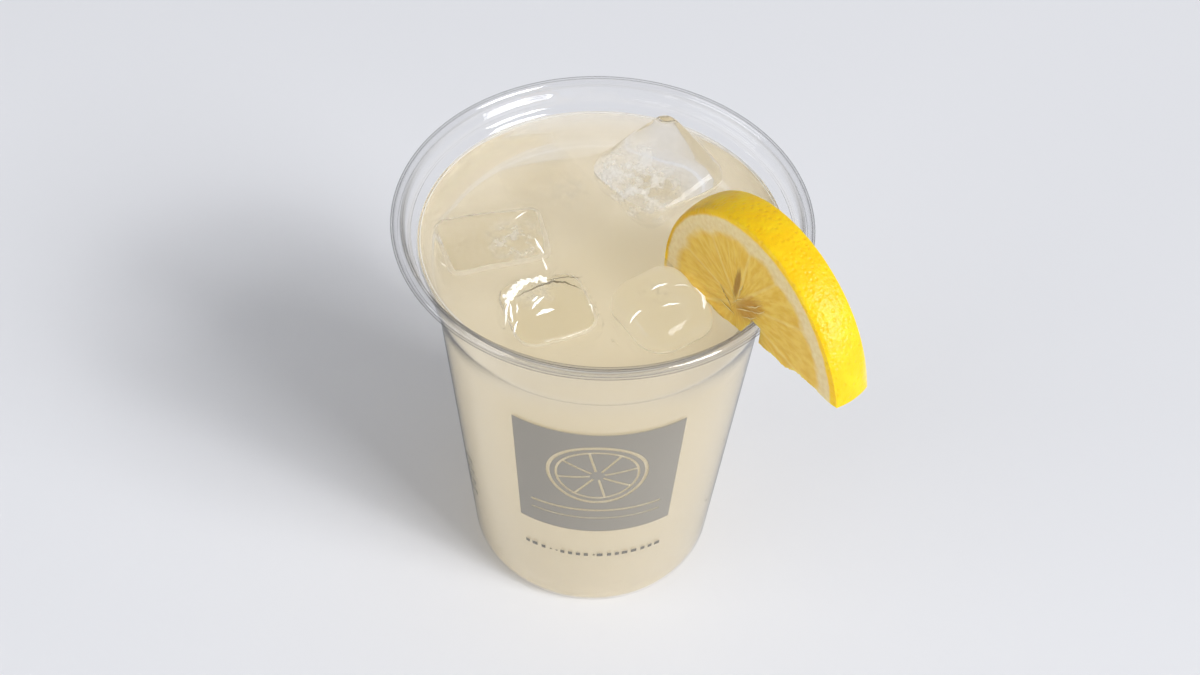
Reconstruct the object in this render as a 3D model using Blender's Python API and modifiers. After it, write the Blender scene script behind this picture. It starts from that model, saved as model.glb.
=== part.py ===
"""Clear plastic cup of iced lemonade with half a lemon slice pushed onto its rim.

All sizes are metres, +Z is up, and the origin is the centre of the cup's base.
A "drop" is a depth below the top of the rim.
"""

import math

import bmesh
import bpy
from mathutils import Matrix, Vector, noise

MM = 0.001

# Sizes shared by every piece
WALL = 0.5 * MM
GAP = 0.3 * MM
TURN_STEPS = 60

# Cup: rim, neck and ledge
CUP_HEIGHT = 117.2 * MM
RIM_RADIUS = 49.0 * MM
CURL_RADIUS = 1.42 * MM
CURL_FREE_END = -100.0
CURL_STEPS = 8
NECK_FOOT = (44.9 * MM, 5.5 * MM)
LEDGE_FOOT = (43.2 * MM, 7.4 * MM)
LEDGE_STEPS = 3

# Cup: upper band, small step and cone
BAND_MIDDLE = (42.0 * MM, 12.0 * MM)
BAND_FOOT = (40.5 * MM, 20.5 * MM)
STEP_DROP = 21.5 * MM
BASE_RADIUS = 31.93 * MM
CONE_SLOPE = 0.0792
HEEL_RADIUS = 4.0 * MM
HEEL_STEPS = 4

# Stacking lugs: a raised arc in the neck, broken by three gaps
LUG_DROPS = (2.6 * MM, 3.2 * MM, 4.6 * MM, 5.1 * MM)
LUG_DEPTH = 0.6 * MM
LUG_GAP_CENTRE = 96.0
LUG_GAP_COUNT = 3
LUG_GAP_HALF_ANGLE = 12.0

# Drink
DRINK_LEVEL = 109.6 * MM
MENISCUS_RISE = 0.5 * MM
MENISCUS_WIDTH = 1.2 * MM

# Ice: name, size, centre, corner radius in mm; turn about Z and tilts about X and Y in degrees
ICE_CUBES = (
    ("ice_back", (25.0, 23.5, 18.0), (12.7, 22.9, 105.5), 5.0, (42.0, 13.0, -11.0)),
    ("ice_left", (27.0, 20.5, 19.0), (-24.9, -3.5, 101.2), 4.5, (17.0, 2.0, 1.0)),
    ("ice_front", (20.5, 20.5, 19.0), (-11.4, -24.3, 102.3), 5.5, (22.0, 2.0, 3.0)),
    ("ice_dome", (18.8, 20.5, 20.0), (14.0, -24.1, 106.6), 6.4, (36.0, 3.0, -3.0)),
)
ICE_GRID = 6
ICE_LUMP = 0.5 * MM
ICE_LUMP_SPACING = 1.1
ICE_TAPER = 0.08

# Lemon slice: half a wheel, placed by the middle of its straight cut edge
LEMON_MIDDLE = Vector((32.27, -31.5, 111.35)) * MM
LEMON_TURN = -54.1
LEMON_LIFT = 12.8
LEMON_NEAR_RADIUS = 30.2 * MM
LEMON_FAR_RADIUS = 31.2 * MM
LEMON_THICKNESS = 9.3 * MM
LEMON_CROWN = 0.7 * MM
LEMON_TIP_STRETCH = 1.1 * MM
LEMON_COLUMNS = 30
LEMON_FACE_ROWS = 7
LEMON_EDGE_ROWS = 4
RAG_DEPTH = 1.3 * MM
CORE_ALONG = -2.5 * MM
CORE_UP = 8.0 * MM
PITH_INNER_RADIUS = 25.0 * MM
SEGMENT_COUNT = 9
FLESH_SINK = 0.45 * MM

# Slit in the lemon: clearance to the wall, and the torn opening outside it
SLIT_CLEARANCE = 0.4 * MM
SLIT_BOTTOM_DROP = 16.0 * MM
TEAR_OUTLINE = ((1.5, -4.0), (1.5, 6.4), (6.1, 8.9), (11.0, 11.0), (12.8, 10.2),
                (11.5, 7.4), (7.8, 5.2), (8.6, 1.2), (8.2, -4.0))


def clear_scene():
    for obj in list(bpy.data.objects):
        bpy.data.objects.remove(obj, do_unlink=True)


def new_collection(name):
    collection = bpy.data.collections.new(name)
    bpy.context.scene.collection.children.link(collection)
    return collection


def material(name, colour, roughness, transmission=0.0):
    result = bpy.data.materials.new(name)
    result.use_nodes = True
    shader = result.node_tree.nodes["Principled BSDF"]
    shader.inputs["Base Color"].default_value = (*colour, 1.0)
    shader.inputs["Roughness"].default_value = roughness
    shader.inputs["Metallic"].default_value = 0.0
    shader.inputs["Transmission Weight"].default_value = transmission
    return result


def add_object(name, mesh, collection):
    obj = bpy.data.objects.new(name, mesh)
    collection.objects.link(obj)
    return obj


def finish_round(obj, surface, angle=35.0):
    """Give a rounded piece its material and smooth shading."""
    obj.data.materials.clear()
    obj.data.materials.append(surface)
    obj.data.shade_smooth()
    obj.data.set_sharp_from_angle(angle=math.radians(angle))


def hide_cutter(obj):
    obj.hide_render = True
    obj.display_type = "WIRE"


def turned(name, profile, collection, ring=False):
    """Turn a profile of (radius, height) points about Z with a Screw modifier."""
    mesh = bpy.data.meshes.new(name + "_profile")
    points = [(radius, 0.0, height) for radius, height in profile]
    edges = [(i, i + 1) for i in range(len(points) - 1)]
    if ring:
        edges.append((len(points) - 1, 0))
    mesh.from_pydata(points, edges, [])
    obj = add_object(name, mesh, collection)
    screw = obj.modifiers.new("turn", "SCREW")
    screw.steps = TURN_STEPS
    screw.render_steps = TURN_STEPS
    screw.use_merge_vertices = True
    screw.merge_threshold = 0.00001
    return obj


def applied(obj):
    """Replace an object's mesh with its evaluated one and drop the modifiers."""
    evaluated = obj.evaluated_get(bpy.context.evaluated_depsgraph_get())
    mesh = bpy.data.meshes.new_from_object(evaluated)
    obj.modifiers.clear()
    obj.data = mesh
    return obj


def eased(start, end, steps):
    """Points of an S-curve between two (radius, drop) points, both ends left out."""
    points = []
    for i in range(1, steps):
        part = i / steps
        blend = part * part * (3.0 - 2.0 * part)
        radius = start[0] + (end[0] - start[0]) * blend
        drop = start[1] + (end[1] - start[1]) * part
        points.append((radius, drop))
    return points


def curl_profile():
    """The rolled rim, from its free end over the top to where the neck starts."""
    bend = CURL_RADIUS - WALL / 2.0
    centre = RIM_RADIUS - CURL_RADIUS
    points = []
    for i in range(CURL_STEPS + 1):
        angle = math.radians(CURL_FREE_END + (180.0 - CURL_FREE_END) * i / CURL_STEPS)
        radius = centre + bend * math.cos(angle)
        drop = CURL_RADIUS - bend * math.sin(angle)
        points.append((radius, drop))
    return points


def neck_profile():
    """The neck below the curl, with a row of points at each edge of the lugs."""
    start = (RIM_RADIUS - 2.0 * CURL_RADIUS + WALL / 2.0, CURL_RADIUS)
    slope = (NECK_FOOT[0] - start[0]) / (NECK_FOOT[1] - start[1])
    return [(start[0] + slope * (drop - start[1]), drop) for drop in LUG_DROPS]


def body_profile(inset=0.0):
    """Ledge to base centre, at a distance inside the middle of the wall."""
    points = [LEDGE_FOOT, BAND_MIDDLE, BAND_FOOT]
    slant = math.hypot(1.0, CONE_SLOPE)
    step_height = CUP_HEIGHT - STEP_DROP
    points = [(radius - inset, drop) for radius, drop in points]
    points.append((BASE_RADIUS + CONE_SLOPE * step_height - inset * slant, STEP_DROP))
    heel_height = WALL / 2.0 + HEEL_RADIUS
    heel_centre = BASE_RADIUS + CONE_SLOPE * heel_height - HEEL_RADIUS * slant
    first = math.degrees(math.atan(CONE_SLOPE))
    for i in range(HEEL_STEPS + 1):
        angle = math.radians(-first - (90.0 - first) * i / HEEL_STEPS)
        radius = heel_centre + (HEEL_RADIUS - inset) * math.cos(angle)
        height = heel_height + (HEEL_RADIUS - inset) * math.sin(angle)
        points.append((radius, CUP_HEIGHT - height))
    points.append((0.0, CUP_HEIGHT - WALL / 2.0 - inset))
    return points


def as_heights(profile):
    return [(radius, CUP_HEIGHT - drop) for radius, drop in profile]


def lug_strength(angle):
    """1 on a stacking lug, 0 in the gaps between them."""
    pitch = 360.0 / LUG_GAP_COUNT
    off_gap = abs((angle - LUG_GAP_CENTRE + pitch / 2.0) % pitch - pitch / 2.0)
    return 1.0 if off_gap > LUG_GAP_HALF_ANGLE else 0.0


def press_lugs(mesh):
    """Push the neck's inner rows inward where there is a lug."""
    for vertex in mesh.vertices:
        drop = CUP_HEIGHT - vertex.co.z
        if not LUG_DROPS[1] - GAP / 4.0 < drop < LUG_DROPS[2] + GAP / 4.0:
            continue
        radius = math.hypot(vertex.co.x, vertex.co.y)
        if radius > RIM_RADIUS - 2.0 * CURL_RADIUS + WALL:
            continue
        angle = math.degrees(math.atan2(vertex.co.y, vertex.co.x))
        scale = (radius - LUG_DEPTH * lug_strength(angle)) / radius
        vertex.co.x *= scale
        vertex.co.y *= scale


def make_cup(collection):
    ledge = [NECK_FOOT] + eased(NECK_FOOT, LEDGE_FOOT, LEDGE_STEPS)
    profile = curl_profile() + neck_profile() + ledge + body_profile()
    cup = applied(turned("cup", as_heights(profile), collection))
    press_lugs(cup.data)
    shell = cup.modifiers.new("wall", "SOLIDIFY")
    shell.thickness = WALL
    shell.offset = 0.0
    finish_round(cup, material("clear_cup", (0.90, 0.91, 0.92), 0.06, 0.9))
    return cup


def ice_shape(name, size, centre, corner, turns, grow, collection):
    """A cube with melted corners, as a grid cube pressed onto a rounded box."""
    half = [side * MM / 2.0 + grow for side in size]
    corner = corner * MM + grow
    bm = bmesh.new()
    bmesh.ops.create_cube(bm, size=2.0)
    bmesh.ops.subdivide_edges(bm, edges=bm.edges[:], cuts=ICE_GRID - 1, use_grid_fill=True)
    for vertex in bm.verts:
        point = Vector([vertex.co[i] * half[i] for i in range(3)])
        inner = Vector([max(corner - half[i], min(half[i] - corner, point[i])) for i in range(3)])
        outward = point - inner
        if outward.length > 0.0:
            point = inner + outward.normalized() * corner
        direction = point.normalized()
        seed = Vector((size[0], size[1], turns[0]))
        lump = ICE_LUMP * noise.noise(direction * ICE_LUMP_SPACING + seed)
        point += direction * lump
        narrowing = 1.0 + ICE_TAPER * vertex.co.z
        vertex.co = Vector((point.x * narrowing, point.y * narrowing, point.z))
    mesh = bpy.data.meshes.new(name)
    bm.to_mesh(mesh)
    bm.free()
    obj = add_object(name, mesh, collection)
    place = Matrix.Translation(Vector(centre) * MM)
    for axis, turn in zip("ZXY", turns):
        place = place @ Matrix.Rotation(math.radians(turn), 4, axis)
    obj.matrix_world = place
    return obj


def lemon_frame():
    """Matrix whose X runs out along the cut edge, Y up in the slice, Z to its far face."""
    turn = math.radians(LEMON_TURN)
    lift = math.radians(LEMON_LIFT)
    along = Vector((math.cos(turn) * math.cos(lift), math.sin(turn) * math.cos(lift),
                    math.sin(lift)))
    far = Vector((0.0, 0.0, -1.0)).cross(Vector((along.x, along.y, 0.0))).normalized()
    far = -far
    up = far.cross(along).normalized()
    if up.z < 0.0:
        up = -up
    frame = Matrix((along, up, far)).transposed().to_4x4()
    frame.translation = LEMON_MIDDLE
    return frame


def rag(along, depth, radius):
    """Height of the torn cut edge at a place along it and through the slice."""
    part = along / radius
    taper = 1.0 - part ** 6
    wave = math.sin(along / (2.9 * MM) + 0.6) + 0.6 * math.sin(along / (1.27 * MM) + 2.0 * depth)
    lift = 0.8 * MM * (1.0 - part * part)
    return taper * (lift + RAG_DEPTH * 0.4 * wave)


def face_sink(along, up):
    """How far the pulp lies below the pith, with a groove at each membrane."""
    from_core_x = along - CORE_ALONG
    from_core_y = up - CORE_UP
    if math.hypot(along, up) > PITH_INNER_RADIUS:
        return 0.0
    angle = math.atan2(from_core_y, from_core_x)
    groove = abs(math.cos(angle * SEGMENT_COUNT / 2.0))
    return FLESH_SINK * (0.4 + 0.6 * (1.0 - groove ** 0.5))


def slice_loop(column, grow):
    """One closed loop of points round the slice, across its cut edge, faces and rind."""
    sweep = math.pi * column / LEMON_COLUMNS
    loop = []

    def place(row, through):
        depth = through * LEMON_THICKNESS
        spread = LEMON_NEAR_RADIUS + (LEMON_FAR_RADIUS - LEMON_NEAR_RADIUS) * through
        radius = spread + LEMON_CROWN * 4.0 * through * (1.0 - through) + grow
        tip = max(0.0, math.cos(sweep)) ** 8
        radius += LEMON_TIP_STRETCH * tip * (1.0 - 2.0 * through)
        along = radius * math.cos(sweep)
        low = rag(along, depth, radius) - grow
        low = low * math.sin(sweep) if grow else low
        up = low + (radius * math.sin(sweep) - low) * row
        return along, up, depth

    def on_face(row, through):
        along, up, depth = place(row, through)
        sink = 0.0 if grow else face_sink(along, up)
        shift = sink - grow if through == 0.0 else grow - sink
        return Vector((along, up, depth + shift))

    for row in range(LEMON_FACE_ROWS + 1):
        loop.append(on_face(row / LEMON_FACE_ROWS, 0.0))
    for row in range(1, LEMON_EDGE_ROWS):
        loop.append(Vector(place(1.0, row / LEMON_EDGE_ROWS)))
    for row in range(LEMON_FACE_ROWS + 1):
        loop.append(on_face(1.0 - row / LEMON_FACE_ROWS, 1.0))
    for row in range(1, LEMON_EDGE_ROWS):
        loop.append(Vector(place(0.0, 1.0 - row / LEMON_EDGE_ROWS)))
    return loop


def lemon_shape(name, grow, collection):
    """Half a wheel of lemon, lofted from column to column along its cut edge."""
    bm = bmesh.new()
    loops = []
    for column in range(LEMON_COLUMNS + 1):
        loops.append([bm.verts.new(point) for point in slice_loop(column, grow)])
    count = len(loops[0])
    for first, second in zip(loops, loops[1:]):
        for i in range(count):
            after = (i + 1) % count
            bm.faces.new((first[i], second[i], second[after], first[after]))
    bmesh.ops.remove_doubles(bm, verts=bm.verts[:], dist=0.00001)
    bmesh.ops.triangulate(bm, faces=bm.faces[:])
    bmesh.ops.recalc_face_normals(bm, faces=bm.faces[:])
    mesh = bpy.data.meshes.new(name)
    bm.to_mesh(mesh)
    bm.free()
    obj = add_object(name, mesh, collection)
    obj.matrix_world = lemon_frame()
    return obj


def slit_cutter(collection):
    """A turned band round the cup's wall and rim that clears the lemon from them."""
    rim_inner = RIM_RADIUS - 2.0 * CURL_RADIUS
    half = WALL / 2.0 + SLIT_CLEARANCE
    lug = LUG_DEPTH + half
    outer = RIM_RADIUS + SLIT_CLEARANCE
    roof = CUP_HEIGHT + SLIT_CLEARANCE * 2.0
    profile = [
        (outer, roof),
        (outer, CUP_HEIGHT - SLIT_BOTTOM_DROP),
        (BAND_MIDDLE[0] - half, CUP_HEIGHT - SLIT_BOTTOM_DROP),
        (LEDGE_FOOT[0] - half, CUP_HEIGHT - LEDGE_FOOT[1]),
        (NECK_FOOT[0] - lug, CUP_HEIGHT - NECK_FOOT[1]),
        (rim_inner - lug, CUP_HEIGHT - LUG_DROPS[0]),
        (rim_inner - SLIT_CLEARANCE, CUP_HEIGHT - CURL_RADIUS),
        (rim_inner, roof),
    ]
    obj = applied(turned("cut_slit", profile, collection, ring=True))
    hide_cutter(obj)
    return obj


def tear_cutter(collection):
    """The torn opening outside the rim, a flat outline pushed through the slice."""
    curve = bpy.data.curves.new("cut_tear", "CURVE")
    curve.dimensions = "2D"
    curve.fill_mode = "BOTH"
    curve.extrude = LEMON_THICKNESS
    spline = curve.splines.new("POLY")
    spline.points.add(len(TEAR_OUTLINE) - 1)
    for point, (along, up) in zip(spline.points, TEAR_OUTLINE):
        point.co = (along * MM, up * MM, 0.0, 1.0)
    spline.use_cyclic_u = True
    outline = add_object("cut_tear_outline", curve, collection)
    middle = Matrix.Translation((0.0, 0.0, LEMON_THICKNESS / 2.0))
    place = lemon_frame() @ middle
    evaluated = outline.evaluated_get(bpy.context.evaluated_depsgraph_get())
    mesh = bpy.data.meshes.new_from_object(evaluated)
    bm = bmesh.new()
    bm.from_mesh(mesh)
    bmesh.ops.remove_doubles(bm, verts=bm.verts[:], dist=0.00001)
    bmesh.ops.recalc_face_normals(bm, faces=bm.faces[:])
    bm.to_mesh(mesh)
    bm.free()
    bpy.data.objects.remove(outline, do_unlink=True)
    obj = add_object("cut_tear", mesh, collection)
    obj.matrix_world = place
    hide_cutter(obj)
    return obj


def cut(obj, cutter):
    boolean = obj.modifiers.new("cut_" + cutter.name, "BOOLEAN")
    boolean.operation = "DIFFERENCE"
    boolean.solver = "EXACT"
    boolean.object = cutter


def make_lemon(collection, cutters):
    lemon = lemon_shape("lemon_slice", 0.0, collection)
    cut(lemon, slit_cutter(cutters))
    cut(lemon, tear_cutter(cutters))
    finish_round(lemon, material("lemon_rind", (0.93, 0.74, 0.04), 0.4))
    return lemon


def drink_profile():
    """The drink from its surface's centre over the meniscus and down to the base."""
    inset = WALL / 2.0 + GAP
    level_drop = CUP_HEIGHT - DRINK_LEVEL
    edge = LEDGE_FOOT[0] - inset
    top = [(0.0, level_drop), (edge - MENISCUS_WIDTH, level_drop)]
    top.append((edge - MENISCUS_WIDTH / 4.0, level_drop - MENISCUS_RISE / 3.0))
    top.append((edge, level_drop - MENISCUS_RISE))
    return top + body_profile(inset)[1:]


def make_drink(collection, cutters):
    drink = applied(turned("drink", as_heights(drink_profile()), collection))
    for cube in ICE_CUBES:
        pocket = ice_shape("cut_" + cube[0], *cube[1:], GAP, cutters)
        hide_cutter(pocket)
        cut(drink, pocket)
    pocket = lemon_shape("cut_lemon", GAP, cutters)
    hide_cutter(pocket)
    cut(drink, pocket)
    finish_round(drink, material("lemonade", (0.83, 0.76, 0.58), 0.05, 0.4))
    return drink


def main():
    clear_scene()
    parts = new_collection("cup_of_lemonade")
    cutters = new_collection("cutters")
    make_cup(parts)
    make_drink(parts, cutters)
    ice_surface = material("ice", (0.93, 0.94, 0.95), 0.08, 0.85)
    for cube in ICE_CUBES:
        finish_round(ice_shape(*cube, 0.0, parts), ice_surface)
    make_lemon(parts, cutters)


main()
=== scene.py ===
"""Clear plastic cup of iced lemonade with half a lemon slice pushed onto its rim: the looks.

Sizes are metres, +Z is up and the origin is the centre of the cup's base.
A "drop" is a depth below the top of the rim.
"""

import math
import random

import bmesh
import bpy
from mathutils import Matrix, Vector, noise
from mathutils.bvhtree import BVHTree


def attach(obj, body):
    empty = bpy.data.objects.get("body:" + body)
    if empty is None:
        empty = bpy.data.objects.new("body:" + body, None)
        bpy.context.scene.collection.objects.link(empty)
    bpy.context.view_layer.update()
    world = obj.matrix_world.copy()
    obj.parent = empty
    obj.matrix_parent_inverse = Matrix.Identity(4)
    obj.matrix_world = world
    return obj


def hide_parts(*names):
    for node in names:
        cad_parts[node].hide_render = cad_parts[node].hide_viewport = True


MM = 0.001
BODY = "root"

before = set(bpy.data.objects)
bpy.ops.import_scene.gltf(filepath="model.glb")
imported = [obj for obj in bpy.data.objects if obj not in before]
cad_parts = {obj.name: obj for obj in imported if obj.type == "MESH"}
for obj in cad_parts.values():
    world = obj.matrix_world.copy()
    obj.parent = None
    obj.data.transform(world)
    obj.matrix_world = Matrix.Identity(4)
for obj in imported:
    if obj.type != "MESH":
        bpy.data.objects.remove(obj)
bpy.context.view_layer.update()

# Cup
CUP_HEIGHT = 117.2 * MM
RIM_RADIUS = 48.99 * MM
WALL = 0.5 * MM
CURL_RADIUS = 1.42 * MM
CURL_FREE_END = -100.0
NECK_FOOT = (44.9 * MM, 5.5 * MM)
LEDGE_FOOT = (43.2 * MM, 7.4 * MM)
BAND_MIDDLE = (42.0 * MM, 12.0 * MM)
BAND_FOOT = (40.5 * MM, 20.5 * MM)
STEP_DROP = 21.5 * MM
BASE_RADIUS = 31.93 * MM
CONE_SLOPE = 0.0792
HEEL_RADIUS = 4.0 * MM
LUG_DROPS = (2.6 * MM, 3.2 * MM, 4.6 * MM, 5.1 * MM)
LUG_DEPTH = 0.6 * MM
LUG_GAP_CENTRE = 96.0
LUG_GAP_HALF_ANGLE = 12.0
TURN_STEPS = 256

# Drink
DRINK_LEVEL = 109.6 * MM
MENISCUS_RISE = 0.5 * MM
MENISCUS_WIDTH = 1.2 * MM
INTO_WALL = 0.12 * MM
DRINK_COLOUR = (232, 221, 199)
DRINK_HAZE = 0.25
WET_RISE_ICE = 0.55 * MM
WET_RISE_LEMON = 0.6 * MM
WET_REACH = 1.1 * MM
SWELL_HEIGHT = 0.06 * MM
SWELL_SPACING = 60.0
# Where the drink's wall counts as a pocket: inside the cup's wall and above a height, in mm
POCKET_INSET = 0.55
POCKET_STEP = 0.9
POCKET_SLOPE = 0.1
POCKET_LOWEST = 80.0

# Ice: name, size, centre, corner radius in mm; turn about Z and tilts about X and Y in degrees
ICE_CUBES = (
    ("ice_back", (25.0, 23.5, 18.0), (12.7, 22.9, 105.5), 5.0, (42.0, 13.0, -11.0)),
    ("ice_left", (27.0, 20.5, 19.0), (-24.9, -3.5, 101.2), 4.5, (17.0, 2.0, 1.0)),
    ("ice_front", (20.5, 20.5, 19.0), (-11.4, -24.3, 102.3), 5.5, (22.0, 2.0, 3.0)),
    ("ice_dome", (18.8, 20.5, 20.0), (14.0, -24.1, 106.6), 6.4, (36.0, 3.0, -3.0)),
)
ICE_SUNK = ("ice_sunk", (18.0, 26.0, 20.0), (-11.8, 18.6, 97.6), 4.0, (38.0, 2.0, -2.0))
ICE_GRID = 30
ICE_LUMP = 0.5 * MM
ICE_LUMP_SPACING = 1.1
ICE_RIPPLE = 0.16 * MM
ICE_TAPER = 0.08
POCKET_SHRINK = -0.08 * MM

# Lemon slice
LEMON_MIDDLE = Vector((32.27, -31.5, 111.35)) * MM
LEMON_TURN = -54.1
LEMON_LIFT = 12.8
LEMON_NEAR_RADIUS = 30.2 * MM
LEMON_FAR_RADIUS = 31.2 * MM
LEMON_THICKNESS = 9.3 * MM
LEMON_CROWN = 0.7 * MM
LEMON_TIP_STRETCH = 1.1 * MM
RAG_DEPTH = 1.3 * MM
LEMON_COLUMNS = 190
LEMON_FACE_ROWS = 60
LEMON_EDGE_ROWS = 18
CORE_ALONG = -2.5
CORE_UP = 8.0
PITH_INNER = 26.0
MEMBRANE_ANGLES = (163.0, 119.0, 70.0, 42.0, 14.0, -18.0, 205.0)
SLIT_CLEARANCE = 0.4 * MM
SLIT_BOTTOM_DROP = 16.0 * MM
TEAR_OUTLINE = ((1.5, -4.0), (1.5, 6.4), (6.1, 8.9), (11.0, 11.0), (12.8, 10.2),
                (11.5, 7.4), (7.8, 5.2), (8.6, 1.2), (8.2, -4.0))

# Print on the wall: degrees round the cup and heights in mm
PRINT_ANGLES = (-120.0, -56.2)
PRINT_HEIGHTS = (39.3, 83.0)
INK_LIFT = 0.04 * MM
# Citrus wheel in the print, in mm: rise above the field's middle, radii, count of spokes
WHEEL_RISE = 4.5
WHEEL_OUTER = 12.0
WHEEL_INNER = 10.0
WHEEL_HUB = 1.8
WHEEL_SPOKES = 8


# Camera, as fitted to the photo: lens in mm, lift and roll in degrees
CAMERA_LENS = 49.5
CAMERA_TARGET = Vector((0.456, 0.0, 73.09)) * MM
CAMERA_DISTANCE = 413.5 * MM
CAMERA_LIFT = 48.81
CAMERA_ROLL = 2.464

FLOOR_HALF_SIDE = 3.0
# Lights: name, azimuth, elevation, distance, size, power
LIGHTS = (
    ("key", -32.0, 39.0, 5.0, (2.3, 2.3), 205.0),
    ("sparkle", -32.0, 39.0, 5.0, (0.5, 0.5), 42.0),
    ("reflector", -155.0, 14.0, 2.0, (1.6, 0.9), 14.0),
)
WORLD_COLOUR = (0.93, 0.95, 1.0, 1.0)
WORLD_STRENGTH = 0.36

scene = bpy.context.scene


def place_camera():
    data = bpy.data.cameras.new("camera")
    data.lens = CAMERA_LENS
    data.sensor_width = 36.0
    data.clip_start = 0.01
    data.clip_end = 20.0
    camera = bpy.data.objects.new("camera", data)
    scene.collection.objects.link(camera)
    lift = math.radians(CAMERA_LIFT)
    outward = Vector((0.0, -math.cos(lift), math.sin(lift)))
    camera.location = CAMERA_TARGET + CAMERA_DISTANCE * outward
    tilt = Matrix.Rotation(math.radians(90.0) - lift, 4, "X")
    roll = Matrix.Rotation(math.radians(CAMERA_ROLL), 4, "Z")
    camera.rotation_euler = (tilt @ roll).to_euler()
    scene.camera = camera


place_camera()
scene.view_settings.view_transform = "Standard"
scene.cycles.max_bounces = 12
scene.cycles.diffuse_bounces = 2
scene.cycles.glossy_bounces = 4
scene.cycles.transmission_bounces = 8
scene.cycles.transparent_max_bounces = 24
scene.cycles.volume_bounces = 8
scene.cycles.caustics_reflective = False
scene.cycles.caustics_refractive = True
scene.cycles.sample_clamp_indirect = 4.0


# Shader helpers

def linear(red, green, blue):
    """Linear colour of an sRGB colour given as 0 to 255."""
    values = []
    for channel in (red, green, blue):
        part = channel / 255.0
        values.append(part / 12.92 if part <= 0.04045 else ((part + 0.055) / 1.055) ** 2.4)
    return (*values, 1.0)


class Shader:
    """A node material that is put together one node at a time."""

    def __init__(self, name):
        self.material = bpy.data.materials.new(name)
        self.material.use_nodes = True
        self.tree = self.material.node_tree
        self.tree.nodes.clear()
        self.output = self.tree.nodes.new("ShaderNodeOutputMaterial")

    def add(self, kind, inputs=None, **settings):
        made = self.tree.nodes.new("ShaderNode" + kind)
        for name, value in settings.items():
            setattr(made, name, value)
        for name, value in (inputs or {}).items():
            self.put(value, made.inputs[name])
        return made

    def put(self, value, socket):
        if isinstance(value, bpy.types.NodeSocket):
            self.tree.links.new(value, socket)
        elif isinstance(value, bpy.types.Node):
            self.tree.links.new(value.outputs[0], socket)
        else:
            socket.default_value = value

    def math(self, operation, first, second=0.0, third=0.0, clamp=False):
        made = self.add("Math", {0: first, 1: second, 2: third}, operation=operation)
        made.use_clamp = clamp
        return made.outputs[0]

    def ramp(self, value, low, high, to_low=0.0, to_high=1.0):
        made = self.add("MapRange", {0: value, 1: low, 2: high, 3: to_low, 4: to_high})
        made.interpolation_type = "SMOOTHSTEP"
        return made.outputs[0]

    def mix(self, part, first, second):
        made = self.add("Mix", data_type="RGBA")
        self.put(part, made.inputs[0])
        self.put(first, made.inputs[6])
        self.put(second, made.inputs[7])
        return made.outputs[2]

    def blend(self, part, first, second):
        return self.add("MixShader", {0: part, 1: first, 2: second}).outputs[0]

    def surface(self, shader):
        self.put(shader, self.output.inputs["Surface"])

    def volume(self, shader):
        self.put(shader, self.output.inputs["Volume"])


def let_light_through(shader, glass, tint):
    """Glass that shadow rays pass as plain transparency."""
    path = shader.add("LightPath")
    clear = shader.add("BsdfTransparent", {"Color": tint})
    return shader.blend(path.outputs["Is Shadow Ray"], glass, clear.outputs[0])


def mesh_from(bm, name):
    mesh = bpy.data.meshes.new(name)
    bm.to_mesh(mesh)
    bm.free()
    return mesh


# Lights, backdrop

def make_stage():
    bm = bmesh.new()
    bmesh.ops.create_grid(bm, x_segments=1, y_segments=1, size=FLOOR_HALF_SIDE)
    mesh = mesh_from(bm, "floor")
    floor = bpy.data.objects.new("floor", mesh)
    scene.collection.objects.link(floor)
    shader = Shader("floor")
    face = shader.add("BsdfPrincipled", {"Base Color": linear(228, 229, 233), "Roughness": 0.45})
    shader.surface(face)
    mesh.materials.append(shader.material)


def make_light(name, azimuth, elevation, distance, size, power):
    """A rectangle of light that faces the cup; angles in degrees, sizes in metres, power in watts."""
    data = bpy.data.lights.new(name, "AREA")
    data.shape = "RECTANGLE"
    data.size = size[0]
    data.size_y = size[1]
    data.energy = power
    light = bpy.data.objects.new(name, data)
    scene.collection.objects.link(light)
    a = math.radians(azimuth)
    e = math.radians(elevation)
    target = Vector((0.0, 0.0, 0.08))
    outward = Vector((math.cos(a) * math.cos(e), math.sin(a) * math.cos(e), math.sin(e)))
    light.location = target + outward * distance
    light.rotation_mode = "QUATERNION"
    light.rotation_quaternion = outward.to_track_quat("Z", "Y")


def make_world():
    world = bpy.data.worlds.new("world")
    world.use_nodes = True
    back = world.node_tree.nodes["Background"]
    back.inputs["Color"].default_value = WORLD_COLOUR
    back.inputs["Strength"].default_value = WORLD_STRENGTH
    scene.world = world


make_stage()
make_world()
for light in LIGHTS:
    make_light(*light)


# Cup

def eased(start, end, steps):
    points = []
    for i in range(1, steps):
        part = i / steps
        blend = part * part * (3.0 - 2.0 * part)
        radius = start[0] + (end[0] - start[0]) * blend
        points.append((radius, start[1] + (end[1] - start[1]) * part))
    return points


def straight(start, end, steps):
    points = []
    for i in range(1, steps):
        part = i / steps
        points.append((start[0] + (end[0] - start[0]) * part,
                       start[1] + (end[1] - start[1]) * part))
    return points


def curl_line(steps):
    bend = CURL_RADIUS - WALL / 2.0
    centre = RIM_RADIUS - CURL_RADIUS
    points = []
    for i in range(steps + 1):
        angle = math.radians(CURL_FREE_END + (180.0 - CURL_FREE_END) * i / steps)
        points.append((centre + bend * math.cos(angle), CURL_RADIUS - bend * math.sin(angle)))
    return points


def neck_line():
    start = (RIM_RADIUS - 2.0 * CURL_RADIUS + WALL / 2.0, CURL_RADIUS)
    return straight(start, NECK_FOOT, 16)


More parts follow.
